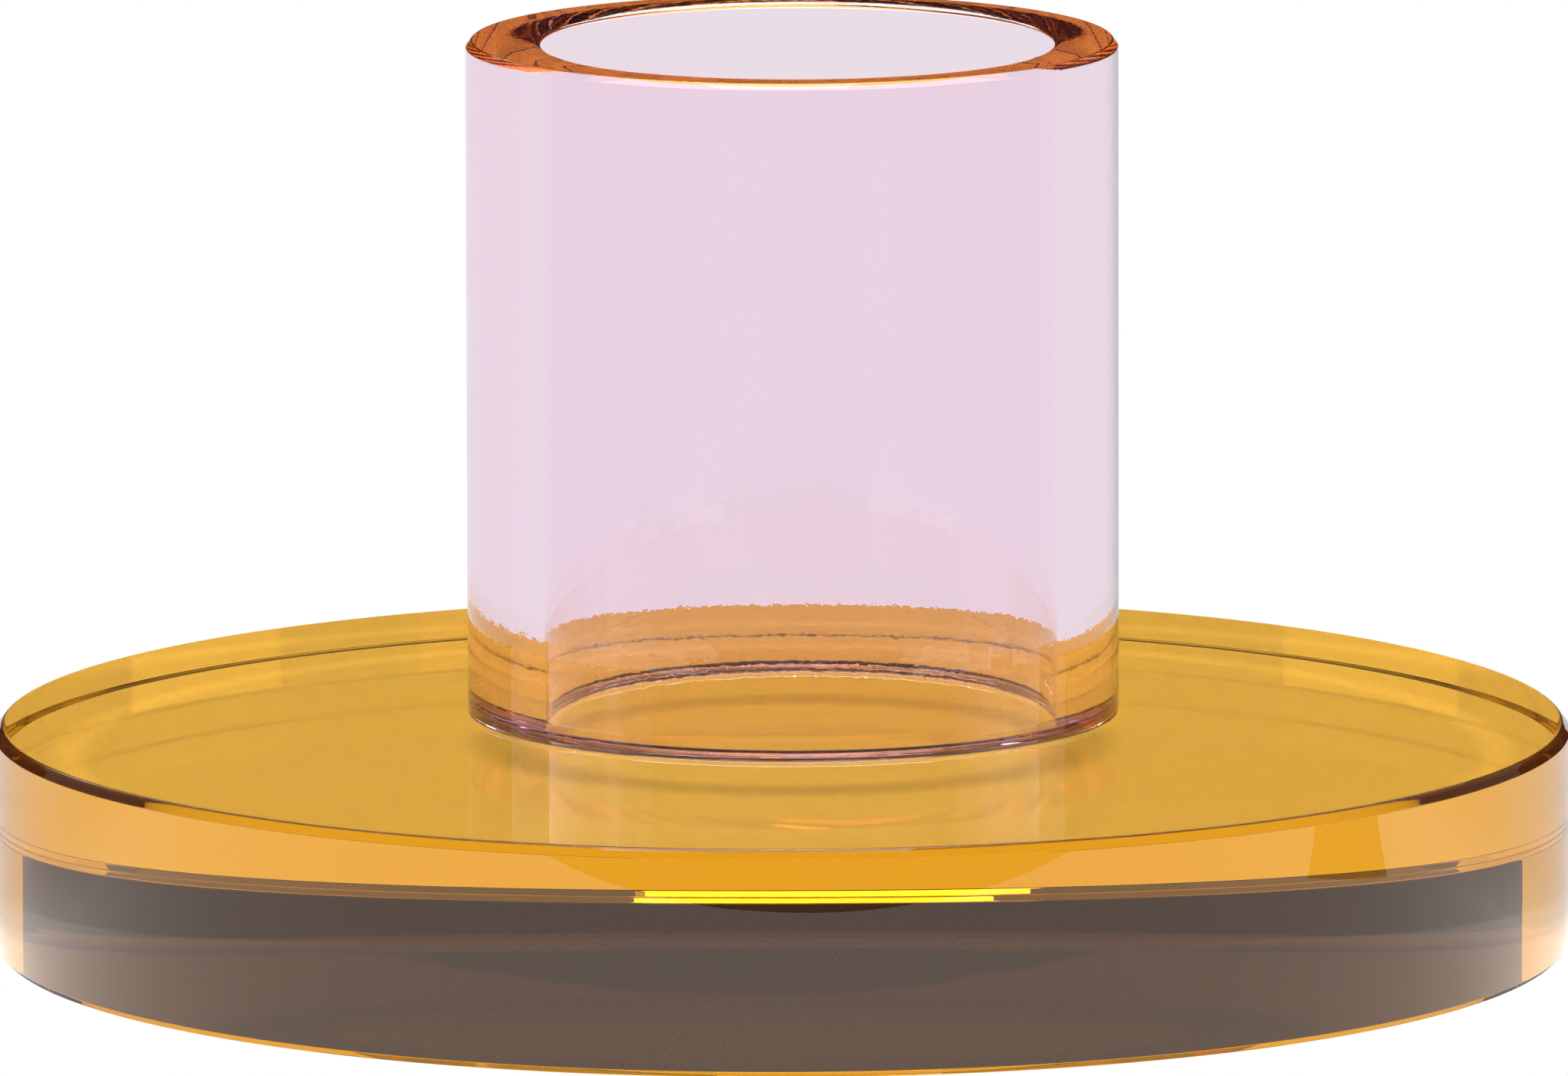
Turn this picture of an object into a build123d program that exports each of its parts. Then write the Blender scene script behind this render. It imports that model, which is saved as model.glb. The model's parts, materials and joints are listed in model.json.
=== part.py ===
from build123d import *
import os

# Glass candlestick: a solid amber disc with a short thick-walled pink tube
# bonded upright on it. The tube is the socket for a household candle.
# Millimetres, +Z up. The origin is the centre of the disc's underside.

# Driving dimensions
DISC_DIAMETER = 70.0
DISC_THICKNESS = 10.0
DISC_TOP_CHAMFER = 0.4      # polished 45 degree edge
DISC_FOOT_CHAMFER = 0.3

TUBE_DIAMETER = 29.0
BORE_DIAMETER = 22.8        # takes a nominal 22 mm candle
TUBE_LENGTH = 30.0
TUBE_CHAMFER = 0.2          # ground edge on both ends, outside and inside
TUBE_CENTRE = (0.5, 2.9)    # the tube stands a little behind the disc's centre
BORE_SHIFT = 0.25           # the drawn tube's bore lies off its outside, along +X

BOND_THICKNESS = 0.15       # clear adhesive film under the tube
BEAD_REACH = 0.15           # how far the squeezed-out adhesive passes the walls
BEAD_RISE = 0.1             # how far it climbs the chamfers above the film

# Derived positions
TUBE_RADIUS = TUBE_DIAMETER / 2
BORE_RADIUS = BORE_DIAMETER / 2
BORE_CENTRE = (TUBE_CENTRE[0] + BORE_SHIFT, TUBE_CENTRE[1])
TUBE_FOOT = DISC_THICKNESS + BOND_THICKNESS
TUBE_TOP = TUBE_FOOT + TUBE_LENGTH
BEAD_TOP = TUBE_FOOT + BEAD_RISE


def upright_plane(centre):
    """A plane through the axis above centre, with x to the right and y up."""
    return Plane(origin=(*centre, 0), x_dir=(1, 0, 0), z_dir=(0, -1, 0))


def make_base_disc():
    """The solid amber disc, with a small chamfer around both faces."""
    with BuildPart() as base_disc:
        with BuildSketch(Plane.XY):
            Circle(DISC_DIAMETER / 2)
        extrude(amount=DISC_THICKNESS)
        rims = base_disc.edges().filter_by(GeomType.CIRCLE).sort_by(Axis.Z)
        chamfer(rims[-1], DISC_TOP_CHAMFER)
        chamfer(rims[0], DISC_FOOT_CHAMFER)
    return base_disc


def make_candle_tube():
    """The pink tube, bored right through, with its four rims chamfered."""
    with BuildPart() as candle_tube:
        with BuildSketch(Plane.XY.offset(TUBE_FOOT)):
            with Locations(TUBE_CENTRE):
                Circle(TUBE_RADIUS)
            with Locations(BORE_CENTRE):
                Circle(BORE_RADIUS, mode=Mode.SUBTRACT)
        extrude(amount=TUBE_LENGTH)
        chamfer(candle_tube.edges().filter_by(GeomType.CIRCLE), TUBE_CHAMFER)
    return candle_tube


def make_bond_ring():
    """The clear adhesive: a film under the tube, with a bead around each wall.

    Both beads lean on the tube's foot chamfers and run out on the disc.
    The outer bead goes round the tube's axis and the inner one round the bore's.
    """
    film_outside = TUBE_RADIUS - TUBE_CHAMFER
    film_inside = BORE_RADIUS + TUBE_CHAMFER
    outer_bead = (
        (film_outside, DISC_THICKNESS),
        (TUBE_RADIUS + BEAD_REACH, DISC_THICKNESS),
        (film_outside + BEAD_RISE, BEAD_TOP),
        (film_outside, TUBE_FOOT),
    )
    inner_bead = (
        (film_inside, DISC_THICKNESS),
        (film_inside, TUBE_FOOT),
        (film_inside - BEAD_RISE, BEAD_TOP),
        (BORE_RADIUS - BEAD_REACH, DISC_THICKNESS),
    )
    with BuildPart() as bond_ring:
        with BuildSketch(Plane.XY.offset(DISC_THICKNESS)):
            with Locations(TUBE_CENTRE):
                Circle(film_outside)
            with Locations(BORE_CENTRE):
                Circle(film_inside, mode=Mode.SUBTRACT)
        extrude(amount=BOND_THICKNESS)
        for centre, bead in ((TUBE_CENTRE, outer_bead), (BORE_CENTRE, inner_bead)):
            with BuildSketch(upright_plane(centre)):
                with BuildLine():
                    Polyline(*bead, close=True)
                make_face()
            revolve(axis=Axis((*centre, 0), (0, 0, 1)))
    return bond_ring


os.makedirs("parts", exist_ok=True)

base_disc = make_base_disc()
base_disc.part.label = "base_disc"
export_step(base_disc.part, "parts/base_disc.step")

candle_tube = make_candle_tube()
candle_tube.part.label = "candle_tube"
export_step(candle_tube.part, "parts/candle_tube.step")

bond_ring = make_bond_ring()
bond_ring.part.label = "bond_ring"
export_step(bond_ring.part, "parts/bond_ring.step")

print(f"overall height {TUBE_TOP:.2f} mm")
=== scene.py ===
import json
import math

import bmesh
import bpy
from mathutils import Matrix, Vector, noise


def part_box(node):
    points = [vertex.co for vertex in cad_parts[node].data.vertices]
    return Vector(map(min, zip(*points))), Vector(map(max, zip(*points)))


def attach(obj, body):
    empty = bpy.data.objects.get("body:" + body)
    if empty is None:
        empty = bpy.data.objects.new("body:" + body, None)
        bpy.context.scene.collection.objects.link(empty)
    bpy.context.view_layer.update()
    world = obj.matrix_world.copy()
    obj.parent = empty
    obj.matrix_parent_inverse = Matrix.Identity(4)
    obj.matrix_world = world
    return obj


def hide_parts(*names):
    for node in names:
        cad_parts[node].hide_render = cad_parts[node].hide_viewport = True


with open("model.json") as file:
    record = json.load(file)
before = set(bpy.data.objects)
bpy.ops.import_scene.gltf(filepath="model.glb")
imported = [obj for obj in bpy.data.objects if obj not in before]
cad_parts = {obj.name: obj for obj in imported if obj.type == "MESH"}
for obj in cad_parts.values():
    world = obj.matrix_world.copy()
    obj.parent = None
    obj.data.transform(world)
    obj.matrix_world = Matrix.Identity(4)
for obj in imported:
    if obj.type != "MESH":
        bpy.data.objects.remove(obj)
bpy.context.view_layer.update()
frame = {"record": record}

# Glass candlestick: a solid amber disc, a thick-walled pink tube bonded upright on it,
# and the clear adhesive squeezed out along the tube's foot, outside and in the bore.
# Metres, the CAD frame: +Z up, the front is -Y.

MM = 0.001

# Places and sizes that the CAD fixes
disc_low, disc_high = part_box("base_disc")
tube_low, tube_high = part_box("candle_tube")
bond_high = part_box("bond_ring")[1]
candle_socket = next(m for m in frame["record"]["mounts"] if m["name"] == "candle_socket")

DISC_CENTRE = ((disc_low.x + disc_high.x) / 2, (disc_low.y + disc_high.y) / 2)
DISC_RADIUS = (disc_high.x - disc_low.x) / 2
TUBE_CENTRE = ((tube_low.x + tube_high.x) / 2, (tube_low.y + tube_high.y) / 2)
TUBE_RADIUS = (tube_high.x - tube_low.x) / 2
BORE_CENTRE = tuple(candle_socket["pos_m"][:2])
BORE_RADIUS = candle_socket["dims"]["r_mm"] * MM

# Ground and polished edges
DISC_TOP_CHAMFER = (0.34 * MM, 0.4 * MM)    # its reach in from the side, and its height
DISC_FOOT_CHAMFER = 0.3 * MM
TUBE_FOOT_CHAMFER = (0.13 * MM, 0.2 * MM)   # reach into the glass, and height
RIM_EDGE_OUTSIDE = (        # mm into the glass from the wall, and mm below the rim's top
    (0.00, 0.33), (0.00, 0.29), (0.03, 0.25), (0.23, 0.03), (0.28, 0.0), (0.33, 0.0),
)
RIM_EDGE_INSIDE = (
    (0.00, 0.30), (0.00, 0.25), (0.04, 0.205), (0.10, 0.175), (0.30, 0.135), (0.80, 0.07),
    (1.40, 0.012), (1.80, 0.0), (1.85, 0.0),
)

# The bead of adhesive along each wall of the tube
BEAD_RISE = 0.8 * (bond_high.z - tube_low.z)
BEAD_FOOT = 1.05            # how far its foot stands out, in parts of its rise
BEAD_BELLY = (0.90, 0.75)   # how far out and how high its belly is
BEAD_CROWN = 0.6            # how far out its highest line is
BEAD_SWELL = 0.15 * BEAD_RISE
SWELLS = (3, 1.0, 0)        # reach round the noise field, share of the swell, offset of the seed
RIPPLES = (22, 0.5, 7)

# Mesh detail
SEGMENTS = 720              # round every turned surface
EDGE_ROUND = 0.05 * MM      # radius that polishing leaves on each sharp edge
FACE_ROUND = 0.14 * MM      # on the edge of the disc's top face
SIDE_ROUND = 0.025 * MM     # where the disc's top chamfer meets its side
EDGE_STEPS = 3              # facets across such a round
CONTACT_LAP = 0.01 * MM     # bonded faces overlap by this, so that no air shows between

# Camera: far off with a long lens, looking a little down at the front
CAMERA_PLACE = (0.000104, -1.3, 0.22316)
CAMERA_PITCH = 8.96         # degrees below the horizontal
CAMERA_ROLL = 0.125         # degrees clockwise
CAMERA_LENS = 680.6         # mm
CAMERA_SENSOR = 36          # mm wide
CAMERA_FAR = 100            # metres, beyond which it sees nothing


# ---------------------------------------------------------------- mesh building

def corner_round(before, corner, after, radius):
    """Points of a small arc that rounds the corner of a profile given as (r, z)."""
    a = (Vector(before) - Vector(corner)).normalized()
    b = (Vector(after) - Vector(corner)).normalized()
    half = a.angle(b) / 2
    reach = radius / math.tan(half)
    centre = Vector(corner) + (a + b).normalized() * radius / math.sin(half)
    start = Vector(corner) + a * reach - centre
    end = Vector(corner) + b * reach - centre
    turn = -start.angle_signed(end)
    points = []
    for i in range(EDGE_STEPS + 1):
        spoke = Matrix.Rotation(turn * i / EDGE_STEPS, 2) @ start
        points.append(tuple(centre + spoke))
    return points


def toward(start, goal, distance):
    """The point at a distance from start on the way to goal."""
    step = (Vector(goal) - Vector(start)).normalized() * distance
    return (start[0] + step.x, start[1] + step.y)


def rounded_corner(before, corner, after, radius=EDGE_ROUND):
    """The corner's arc with a holding point on each side of it.

    The holding points keep the smooth shading of a flat face flat up to its edge.
    """
    arc = corner_round(before, corner, after, radius)
    return [toward(arc[0], before, radius), *arc, toward(arc[-1], after, radius)]


def turned_loop(bm, centre, radius, z):
    """One ring of vertices, or the same vertex all round where the radius is 0."""
    if radius == 0:
        return [bm.verts.new((*centre, z))] * SEGMENTS
    loop = []
    for i in range(SEGMENTS):
        angle = 2 * math.pi * i / SEGMENTS
        r = radius(angle) if callable(radius) else radius
        place = (centre[0] + r * math.cos(angle), centre[1] + r * math.sin(angle), z)
        loop.append(bm.verts.new(place))
    return loop


def skin(bm, low, high):
    """Faces between two loops: four-sided, or three-sided where one loop is a point."""
    for i in range(SEGMENTS):
        j = (i + 1) % SEGMENTS
        corners = dict.fromkeys((low[i], low[j], high[j], high[i]))
        bm.faces.new(list(corners))


def turned(name, runs, closed):
    """A turned mesh through runs of rings (centre, radius, z), each ring with its own axis.

    A radius may also be a function of the angle. An open run starts and ends in a
    point on the axis. A closed one goes round.
    """
    mesh = bpy.data.meshes.new(name)
    bm = bmesh.new()
    for rings in runs:
        loops = [turned_loop(bm, *ring) for ring in rings]
        for low, high in zip(loops, loops[1:]):
            skin(bm, low, high)
        if closed:
            skin(bm, loops[-1], loops[0])
    bmesh.ops.recalc_face_normals(bm, faces=bm.faces)
    bm.to_mesh(mesh)
    bm.free()
    mesh.shade_smooth()
    piece = bpy.data.objects.new(name, mesh)
    bpy.context.scene.collection.objects.link(piece)
    return piece


# ---------------------------------------------------------------- the glass pieces

def build_amber_disc():
    """The base disc: flat polished faces, straight side, chamfer round both faces."""
    r, low, high = DISC_RADIUS, disc_low.z, disc_high.z
    corners = [
        (0, low),
        (r - DISC_FOOT_CHAMFER, low),
        (r, low + DISC_FOOT_CHAMFER),
        (r, high - DISC_TOP_CHAMFER[1]),
        (r - DISC_TOP_CHAMFER[0], high),
        (0, high),
    ]
    radii = [EDGE_ROUND, EDGE_ROUND, SIDE_ROUND, FACE_ROUND]
    outline = [corners[0]]
    for before, corner, after, radius in zip(corners, corners[1:], corners[2:], radii):
        outline.extend(rounded_corner(before, corner, after, radius))
    outline.append(corners[-1])
    return turned("amber_disc", [[(DISC_CENTRE, *p) for p in outline]], closed=False)


def tube_wall(radius, into_glass, rim):
    """One wall of the tube as points (r, z), from its flat foot up to the top of its rim.

    The way from the wall into the glass is -1 on the outside and 1 in the bore. The foot
    goes down to the disc, because the adhesive under it is as clear as the glass.
    """
    low, high = disc_high.z - CONTACT_LAP, tube_high.z
    reach, rise = TUBE_FOOT_CHAMFER
    flat = (radius + into_glass * 2 * reach, low)
    toe = (radius + into_glass * reach, low)
    shoulder = (radius, low + rise)
    midway = (radius, (low + high) / 2)
    return [
        *rounded_corner(flat, toe, shoulder),
        *rounded_corner(toe, shoulder, midway),
        *((radius + into_glass * inward * MM, high - fall * MM) for inward, fall in rim),
    ]


def build_pink_tube():
    """The socket tube: ground edges at its foot, a polished rim that falls towards the bore.

    The bore lies a little off the outside's centre.
    """
    outside = tube_wall(TUBE_RADIUS, -1, RIM_EDGE_OUTSIDE)
    inside = tube_wall(BORE_RADIUS, 1, RIM_EDGE_INSIDE)
    rings = [(TUBE_CENTRE, *p) for p in outside] + [(BORE_CENTRE, *p) for p in reversed(inside)]
    return turned("pink_tube", [rings], closed=True)


def uneven(radius, seed):
    """A radius that swells and shrinks gently round the ring, as hand-laid adhesive does."""
    def at(angle):
        swell = 0
        for reach, share, offset in (SWELLS, RIPPLES):
            place = (math.cos(angle) * reach, math.sin(angle) * reach, seed + offset)
            swell += share * noise.noise(Vector(place))
        return radius + BEAD_SWELL * swell
    return at


def bead(centre, corner, outward, seed):
    """Rings of the bead that lies against one corner of the tube's foot."""
    disc_top = disc_high.z
    reach = outward * BEAD_RISE
    foot = uneven(corner + reach * BEAD_FOOT, seed)
    belly = uneven(corner + reach * BEAD_BELLY[0], seed)
    return [
        (centre, corner, disc_top - CONTACT_LAP),
        (centre, foot, disc_top),
        (centre, belly, disc_top + BEAD_RISE * BEAD_BELLY[1]),
        (centre, corner + reach * BEAD_CROWN, disc_top + BEAD_RISE),
        (centre, corner - outward * CONTACT_LAP, disc_top + CONTACT_LAP),
    ]


def build_bond_ring():
    """The adhesive: a small uneven bead squeezed out along each wall of the tube.

    The film between the faces is not built, because it is too thin and clear to see.
    """
    reach = TUBE_FOOT_CHAMFER[0]
    runs = [
        bead(TUBE_CENTRE, TUBE_RADIUS - reach, outward=1, seed=1.0),
        bead(BORE_CENTRE, BORE_RADIUS + reach, outward=-1, seed=4.0),
    ]
    return turned("adhesive_ring", runs, closed=True)


# ---------------------------------------------------------------- node helpers

class Tree:
    """Short ways to add nodes to a node tree."""

    def __init__(self, tree):
        self.nodes = tree.nodes
        self.links = tree.links

    def add(self, kind, **settings):
        """A new node, with its settings."""
        node = self.nodes.new("ShaderNode" + kind)
        for key, value in settings.items():
            setattr(node, key, value)
        return node

    def put(self, socket, value):
        """Links an output to the socket, or sets the socket to a plain value."""
        if isinstance(value, bpy.types.NodeSocket):
            self.links.new(value, socket)
        else:
            socket.default_value = value

    def fill(self, node, **values):
        """Puts values into a node's inputs, whose names have _ for each space."""
        for name, value in values.items():
            self.put(node.inputs[name.replace("_", " ")], value)

    def maths(self, operation, *values):
        """The result of a sum on plain values and outputs."""
        node = self.add("Math", operation=operation)
        for socket, value in zip(node.inputs, values):
            self.put(socket, value)
        return node.outputs["Value"]

    def both(self, a, b):
        """1 where both masks are 1, else 0."""
        return self.maths("MULTIPLY", a, b)

    def between(self, value, low, high):
        """1 where the value lies between low and high, else 0."""
        return self.both(self.maths("GREATER_THAN", value, low), self.maths("LESS_THAN", value, high))

    def ramp(self, value, low, high, start, end):
        """Goes smoothly from start to end while the value goes from low to high."""
        node = self.add("MapRange", interpolation_type="SMOOTHSTEP")
        self.fill(node, Value=value, From_Min=low, From_Max=high, To_Min=start, To_Max=end)
        return node.outputs["Result"]

    def pick(self, factor, a, b, kind="FLOAT"):
        """a where the factor is 0, b where it is 1. The kind is FLOAT or RGBA."""
        node = self.add("Mix", data_type=kind)
        self.fill(node, Factor=factor, A=a, B=b)
        return node.outputs["Result"]

    def axes(self, vector):
        """The x, y and z of a vector."""
        parts = self.add("SeparateXYZ")
        self.fill(parts, Vector=vector)
        return [parts.outputs[axis] for axis in "XYZ"]


# ---------------------------------------------------------------- materials

DEEPEST = 0.9       # how fully an absorption colour takes up the light that its glass takes most


def absorption(kept, thickness):
    """Colour and density of glass that keeps these shares of light through a thickness."""
    rates = [-math.log(share) / thickness for share in kept]
    density = max(rates) / DEEPEST
    return [1 - rate / density for rate in rates], density


def glass(name, kept, thickness, ior, clarity=1.0):
    """Clear glass that absorbs light on the way through, and the nodes to refine it."""
    material = bpy.data.materials.new(name)
    material.use_nodes = True
    tree = Tree(material.node_tree)
    shader = tree.nodes["Principled BSDF"]
    shader.inputs["IOR"].default_value = ior
    shader.inputs["Transmission Weight"].default_value = clarity
    colour, density = absorption(kept, thickness)
    volume = tree.add("VolumeAbsorption")
    volume.inputs["Color"].default_value = (*colour, 1)
    volume.inputs["Density"].default_value = density
    tree.links.new(volume.outputs["Volume"], tree.nodes["Material Output"].inputs["Volume"])
    return material, tree, shader


def object_noise(tree, scale, detail=2, upright=1):
    """Noise fixed to the object, drawn out along its height where upright is below 1."""
    drawn = tree.add("Mapping")
    tree.fill(drawn, Vector=tree.add("TexCoord").outputs["Object"], Scale=(1, 1, upright))
    texture = tree.add("TexNoise")
    tree.fill(texture, Vector=drawn.outputs["Vector"], Scale=scale, Detail=detail)
    return texture.outputs["Fac"]


def tint(tree, shader, factor, span, pale, deep):
    """A surface colour that drifts from pale to deep over a span of the factor."""
    ramp = tree.add("ValToRGB")
    for stop, position, colour in zip(ramp.color_ramp.elements, span, (pale, deep)):
        stop.position = position
        stop.color = (*colour, 1)
    tree.links.new(factor, ramp.inputs["Fac"])
    tree.links.new(ramp.outputs["Color"], shader.inputs["Base Color"])


def bump(tree, shader, *layers):
    """Adds bump layers of (height, depth in metres) on top of each other."""
    normal = None
    for height, depth in layers:
        layer = tree.add("Bump")
        tree.fill(layer, Strength=1.0, Distance=depth, Height=height)
        if normal is not None:
            tree.fill(layer, Normal=normal)
        normal = layer.outputs["Normal"]
    tree.fill(shader, Normal=normal)


def haze(tree, shader, factor, span, roughest):
    """Polish that is perfect but for faint rough spots where the factor is high."""
    tree.fill(shader, Roughness=tree.ramp(factor, *span, 0.0, roughest))


def amber_glass():
    """Deep amber, with the faint long waves that grinding and polishing leave."""
    material, tree, shader = glass(
        "amber_glass", kept=(0.80, 0.589, 0.066), thickness=70 * MM, ior=1.48, clarity=0.985)
    cloud = object_noise(tree, scale=60)
    tint(tree, shader, cloud, span=(0.35, 0.65), pale=(1.0, 0.600, 0.130), deep=(1.0, 0.575, 0.118))
    wave = object_noise(tree, scale=90)
    polish = object_noise(tree, scale=900, detail=3)
    bump(tree, shader, (wave, 0.004 * MM), (polish, 0.00015 * MM))
    haze(tree, shader, polish, span=(0.62, 0.8), roughest=0.02)
    return material


def pink_glass():
    """Pale pink drawn tube: fine upright striations and a slight ripple in its walls."""
    material, tree, shader = glass(
        "pink_glass", kept=(0.995, 0.95, 0.982), thickness=3.1 * MM, ior=1.5)
    streaks = object_noise(tree, scale=160, detail=3, upright=0.04)
    tint(tree, shader, streaks, span=(0.38, 0.62), pale=(1.0, 0.935, 0.978), deep=(1.0, 0.915, 0.972))
    draw = object_noise(tree, scale=420, upright=0.05)
    ripple = object_noise(tree, scale=2300)
    bump(tree, shader, (draw, 0.0012 * MM), (ripple, 0.0015 * MM))
    haze(tree, shader, ripple, span=(0.62, 0.8), roughest=0.02)
    return material


def clear_adhesive():
    """Clear cured adhesive, slightly browned, a little lumpy, with specks of trapped air."""
    material, tree, shader = glass(
        "clear_adhesive", kept=(0.99, 0.985, 0.975), thickness=1 * MM, ior=1.48)
    specks = object_noise(tree, scale=4200, detail=1)
    tint(tree, shader, specks, span=(0.60, 0.70), pale=(0.72, 0.58, 0.62), deep=(0.85, 0.74, 0.76))
    lumps = object_noise(tree, scale=1300)
    bump(tree, shader, (lumps, 0.0009 * MM), (specks, 0.0002 * MM))
    haze(tree, shader, specks, span=(0.60, 0.75), roughest=0.04)
    return material


# ---------------------------------------------------------------- the table
# What the glass finds on the table: the painted radiance of each patch, with its painted
# shadows and pools of light, and where it lies, in metres. The camera itself sees the table plain
# white.

TABLE_REACH = 3.0
TABLE_DROP = 0.02 * MM      # the disc stands this far off it, so that their faces stay apart
UNDER_DISC = 1.76           # painted light under the disc
RING_SHADE = 0.72           # the share of it left in the painted shadow of the tube's wall
RING_FADE = (0.3 * MM, 2.2 * MM)        # from the middle of the wall outwards
CAUSTIC_RADIUS = 31.8 * MM  # painted bright ring, where the disc's top chamfer throws its light
CAUSTIC_GAIN = 1.18
CAUSTIC_FADE = (0.2 * MM, 1.2 * MM)
PAINTED_EDGE_SHADOW = 0.30            # painted shadow in the crack under the disc's foot chamfer
NEAR_GLOW = 1.85            # in a painted pool of light round the disc's front
NEAR_CENTRE = (0, -20 * MM)
NEAR_FADE = (50.5 * MM, 51.5 * MM)
FRONT_GLOW = 1.45           # beyond that pool, in front and at the sides
FAR_GLOW = 0.80             # further off still
FAR_FADE = (98 * MM, 106 * MM)
PAINTED_FLAG_SHADE = 0.25            # painted shade where two dark flags would shade the table in front
FLAG_EDGE = (0.06, -77.9 * MM)          # the long one's straight edge: its y per x, and y
SIDE_FLAG_X = 66 * MM       # the small one's near end, on the right
SIDE_FLAG_Y = (-32 * MM, -16.5 * MM)
BACK_START = (-10 * MM, 15 * MM)        # the table's front half fades into its back half
BEHIND_NEAR = 1.08          # behind the disc
BEHIND_FAR = 0.83
BEHIND_FADE = (70 * MM, 100 * MM)
BESIDE = 0.84               # beside the disc's back
BESIDE_SPAN = (90, 140)     # degrees to either side of the front

WHITE = (1, 1, 1, 1)


def distance_to(tree, x, y, centre):
    """Distance on the table from (x, y) to a centre."""
    across = tree.maths("SUBTRACT", x, centre[0])
    along = tree.maths("SUBTRACT", y, centre[1])
    squares = [tree.maths("MULTIPLY", way, way) for way in (across, along)]
    return tree.maths("SQRT", tree.maths("ADD", *squares))


def front_light(tree, x, y, r):
    """Painted radiance of the table in front of the disc and beside its front, with a painted pool of
    light and painted flag shade.
    """
    from_pool = distance_to(tree, x, y, NEAR_CENTRE)
    light = tree.ramp(from_pool, *NEAR_FADE, NEAR_GLOW, FRONT_GLOW)
    flag_edge = tree.maths("MULTIPLY_ADD", x, *FLAG_EDGE)
    light = tree.pick(tree.maths("LESS_THAN", y, flag_edge), light, PAINTED_FLAG_SHADE)
    side_flag = tree.both(tree.maths("GREATER_THAN", x, SIDE_FLAG_X), tree.between(y, *SIDE_FLAG_Y))
    light = tree.pick(side_flag, light, PAINTED_FLAG_SHADE)
    return tree.pick(tree.ramp(r, *FAR_FADE, 0.0, 1.0), light, FAR_GLOW)


def back_light(tree, x, y, r):
    """Painted radiance of the table behind the disc and beside its back."""
    bearing = tree.maths("ARCTAN2", x, tree.maths("MULTIPLY", y, -1.0))
    beside = tree.between(tree.maths("ABSOLUTE", bearing), *map(math.radians, BESIDE_SPAN))
    return tree.pick(beside, tree.ramp(r, *BEHIND_FADE, BEHIND_NEAR, BEHIND_FAR), BESIDE)


def under_light(tree, x, y, r):
    """Painted radiance under the disc: the tube's painted ring shadow, the chamfer's painted bright
    ring, and painted shadow at the disc's edge.
    """
    from_tube = distance_to(tree, x, y, TUBE_CENTRE)
    mid_wall = (TUBE_RADIUS + BORE_RADIUS) / 2
    off_wall = tree.maths("ABSOLUTE", tree.maths("SUBTRACT", from_tube, mid_wall))
    shade = tree.ramp(off_wall, *RING_FADE, RING_SHADE, 1.0)
    off_ring = tree.maths("ABSOLUTE", tree.maths("SUBTRACT", r, CAUSTIC_RADIUS))
    gain = tree.ramp(off_ring, *CAUSTIC_FADE, CAUSTIC_GAIN, 1.0)
    light = tree.maths("MULTIPLY", tree.maths("MULTIPLY", shade, gain), UNDER_DISC)
    at_edge = tree.maths("GREATER_THAN", r, DISC_RADIUS - DISC_FOOT_CHAMFER)
    return tree.pick(at_edge, light, PAINTED_EDGE_SHADOW)


def table_light(tree, x, y):
    """Painted radiance of the table at (x, y)."""
    r = distance_to(tree, x, y, DISC_CENTRE)
    back = tree.ramp(y, *BACK_START, 0.0, 1.0)
    open_table = tree.pick(back, front_light(tree, x, y, r), back_light(tree, x, y, r))
    return tree.pick(tree.maths("LESS_THAN", r, DISC_RADIUS), open_table, under_light(tree, x, y, r))


def glowing_table():
    """The table's material. It glows by itself with painted light and shade, which keeps its light
    soft and free of noise.
    """
    material = bpy.data.materials.new("studio_floor")
    material.use_nodes = True
    tree = Tree(material.node_tree)
    tree.nodes.remove(tree.nodes["Principled BSDF"])
    x, y, _ = tree.axes(tree.add("NewGeometry").outputs["Position"])
    camera_ray = tree.add("LightPath").outputs["Is Camera Ray"]
    glow = tree.add("Emission")
    tree.fill(glow, Strength=tree.pick(camera_ray, table_light(tree, x, y), 1.0))
    tree.fill(tree.nodes["Material Output"], Surface=glow.outputs["Emission"])
    return material


def floor():
    """The white table that the disc stands on."""
    mesh = bpy.data.meshes.new("studio_floor")
    corners = [(x * TABLE_REACH, y * TABLE_REACH, 0) for x, y in ((-1, -1), (1, -1), (1, 1), (-1, 1))]
    mesh.from_pydata(corners, [], [(0, 1, 2, 3)])
    mesh.materials.append(glowing_table())
    table = bpy.data.objects.new("studio_floor", mesh)
    table.location.z = disc_low.z - TABLE_DROP
    bpy.context.scene.collection.objects.link(table)


# ---------------------------------------------------------------- the room
# What the glass finds round the table: radiances, and degrees. A width is measured from
# straight behind towards +X, and a height from the horizontal. The camera sees plain white.

ROOM = 0.16                         # the dim room
SOFTBOX = 3.8                       # the softbox overhead
SOFTBOX_SIDES = (-16.172, 11.310)   # its tilt to either side of straight up
SOFTBOX_ENDS = (60, 104)            # from the horizontal behind, over the top
BACKDROP = (0.02, 0.012, 0.016, 1)  # the dark cloth that hangs behind
BACKDROP_WIDTH = (-60.5, 67.5)
BACKDROP_TOP = 18
REAR_LAMP = 3.4                     # a low lamp just above the cloth
REAR_LAMP_WIDTH = (-13.5, 7.1)
REAR_LAMP_HEIGHT = (19.5, 24.5)
SIDE_CARD = 0.9                     # pale cards that stand to either side, past the cloth's ends
SIDE_CARD_WIDTH = (-100, 100)
SIDE_CARD_TOP = 30


def sine(degrees):
    """How far along an axis a unit vector points, at this angle off the plane across it."""
    return math.sin(math.radians(degrees))


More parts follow.
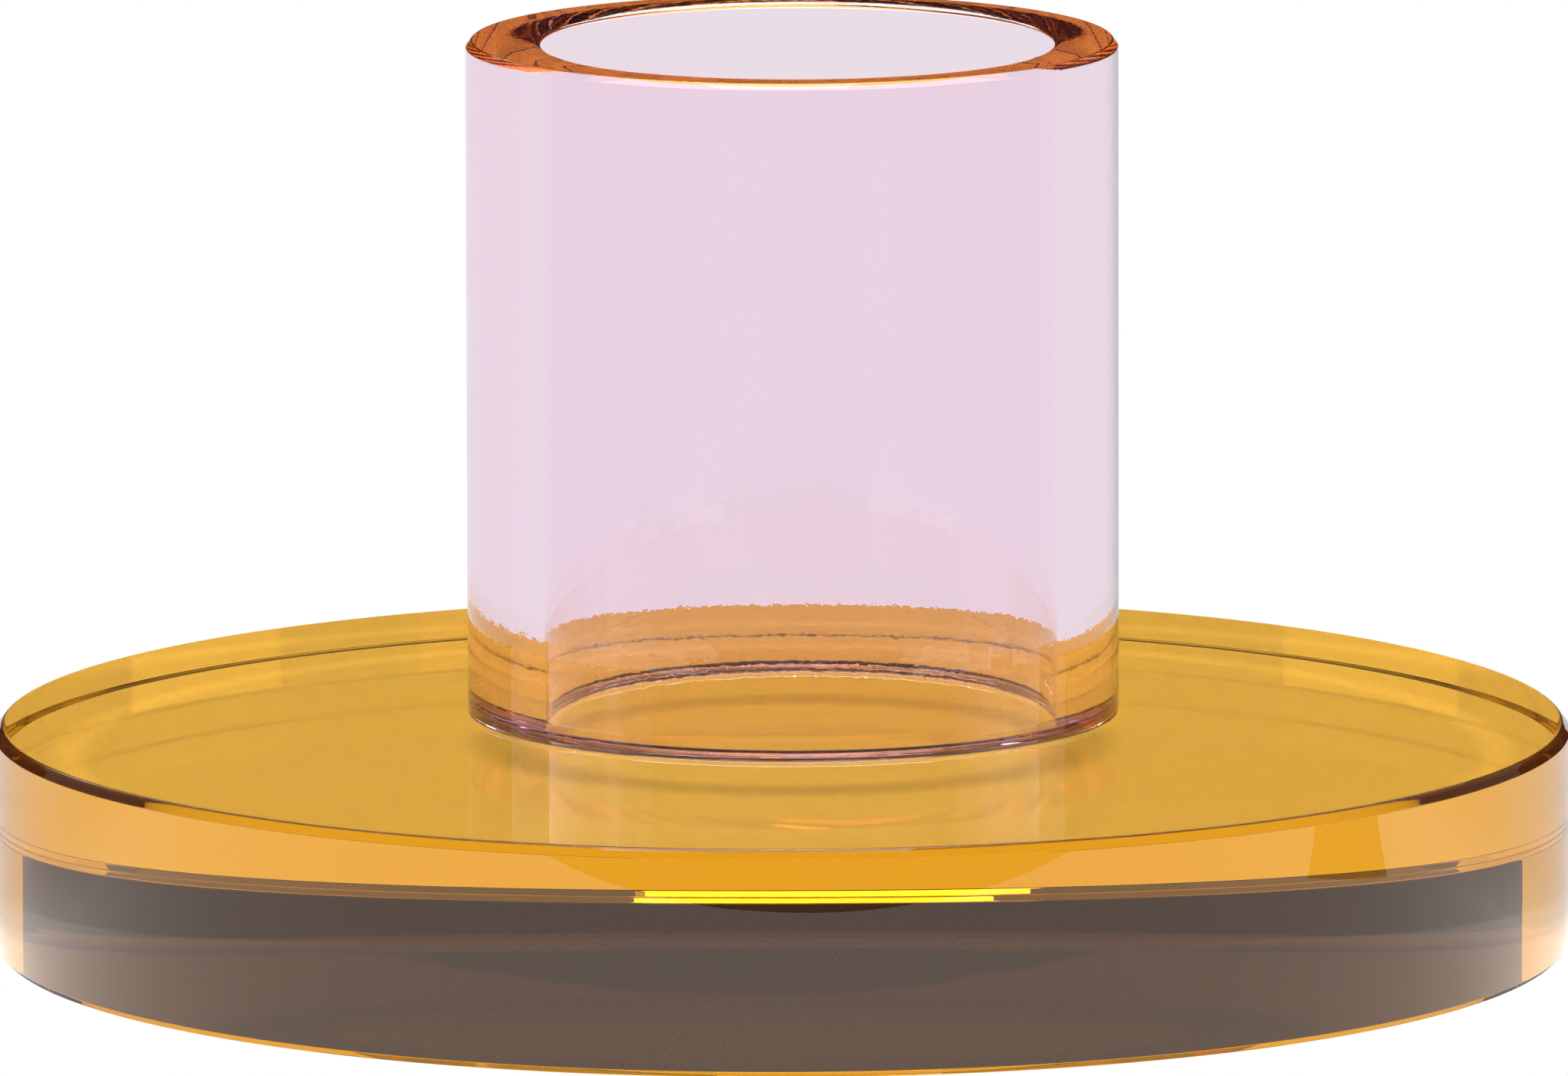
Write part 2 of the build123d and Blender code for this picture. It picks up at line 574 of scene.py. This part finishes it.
def room_light(tree, direction):
    """Radiance and colour of the room in a direction."""
    x, y, z = tree.axes(direction)
    round_up = tree.maths("ARCTAN2", x, y)
    over_top = tree.maths("ARCTAN2", z, y)
    cloth_width = tree.between(round_up, *map(math.radians, BACKDROP_WIDTH))
    card_width = tree.between(round_up, *map(math.radians, SIDE_CARD_WIDTH))
    lamp_width = tree.between(round_up, *map(math.radians, REAR_LAMP_WIDTH))
    box_length = tree.between(over_top, *map(math.radians, SOFTBOX_ENDS))

    box = tree.both(box_length, tree.between(x, *map(sine, SOFTBOX_SIDES)))
    card = tree.both(card_width, tree.maths("LESS_THAN", z, sine(SIDE_CARD_TOP)))
    card = tree.both(card, tree.maths("SUBTRACT", 1.0, cloth_width))
    lamp = tree.both(lamp_width, tree.between(z, *map(sine, REAR_LAMP_HEIGHT)))
    cloth = tree.both(cloth_width, tree.maths("LESS_THAN", z, sine(BACKDROP_TOP)))

    light = tree.pick(box, ROOM, SOFTBOX)
    light = tree.pick(card, light, SIDE_CARD)
    light = tree.pick(lamp, light, REAR_LAMP)
    light = tree.pick(cloth, light, 1.0)
    return light, tree.pick(cloth, WHITE, BACKDROP, kind="RGBA")


def surround():
    """The studio round the table, which is the world's light."""
    world = bpy.data.worlds.new("studio")
    bpy.context.scene.world = world
    world.use_nodes = True
    tree = Tree(world.node_tree)
    light, colour = room_light(tree, tree.add("TexCoord").outputs["Generated"])
    camera_ray = tree.add("LightPath").outputs["Is Camera Ray"]
    tree.fill(
        tree.nodes["Background"],
        Color=tree.pick(camera_ray, colour, WHITE, kind="RGBA"),
        Strength=tree.pick(camera_ray, light, 1.0),
    )


def camera():
    """The camera, placed and turned by the values at the top."""
    data = bpy.data.cameras.new("camera")
    data.lens = CAMERA_LENS
    data.sensor_width = CAMERA_SENSOR
    data.clip_end = CAMERA_FAR
    cam = bpy.data.objects.new("camera", data)
    pitch = Matrix.Rotation(math.radians(90 - CAMERA_PITCH), 4, "X")
    roll = Matrix.Rotation(math.radians(-CAMERA_ROLL), 4, "Z")
    cam.matrix_world = Matrix.Translation(Vector(CAMERA_PLACE)) @ pitch @ roll
    bpy.context.scene.collection.objects.link(cam)
    bpy.context.scene.camera = cam


# ---------------------------------------------------------------- the whole scene

for build, make_material, node, slot in (
    (build_amber_disc, amber_glass, "base_disc", "amber_glass"),
    (build_pink_tube, pink_glass, "candle_tube", "pink_glass"),
    (build_bond_ring, clear_adhesive, "bond_ring", "clear_adhesive"),
):
    piece = build()
    piece.data.materials.append(make_material())
    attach(piece, "root")
    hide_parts(node)

camera()
floor()
surround()

scene = bpy.context.scene
scene.view_settings.view_transform = "Standard"
scene.cycles.max_bounces = 32       # light crosses many glass faces before it gets out
scene.cycles.transmission_bounces = 32
scene.cycles.glossy_bounces = 16
scene.cycles.volume_bounces = 0
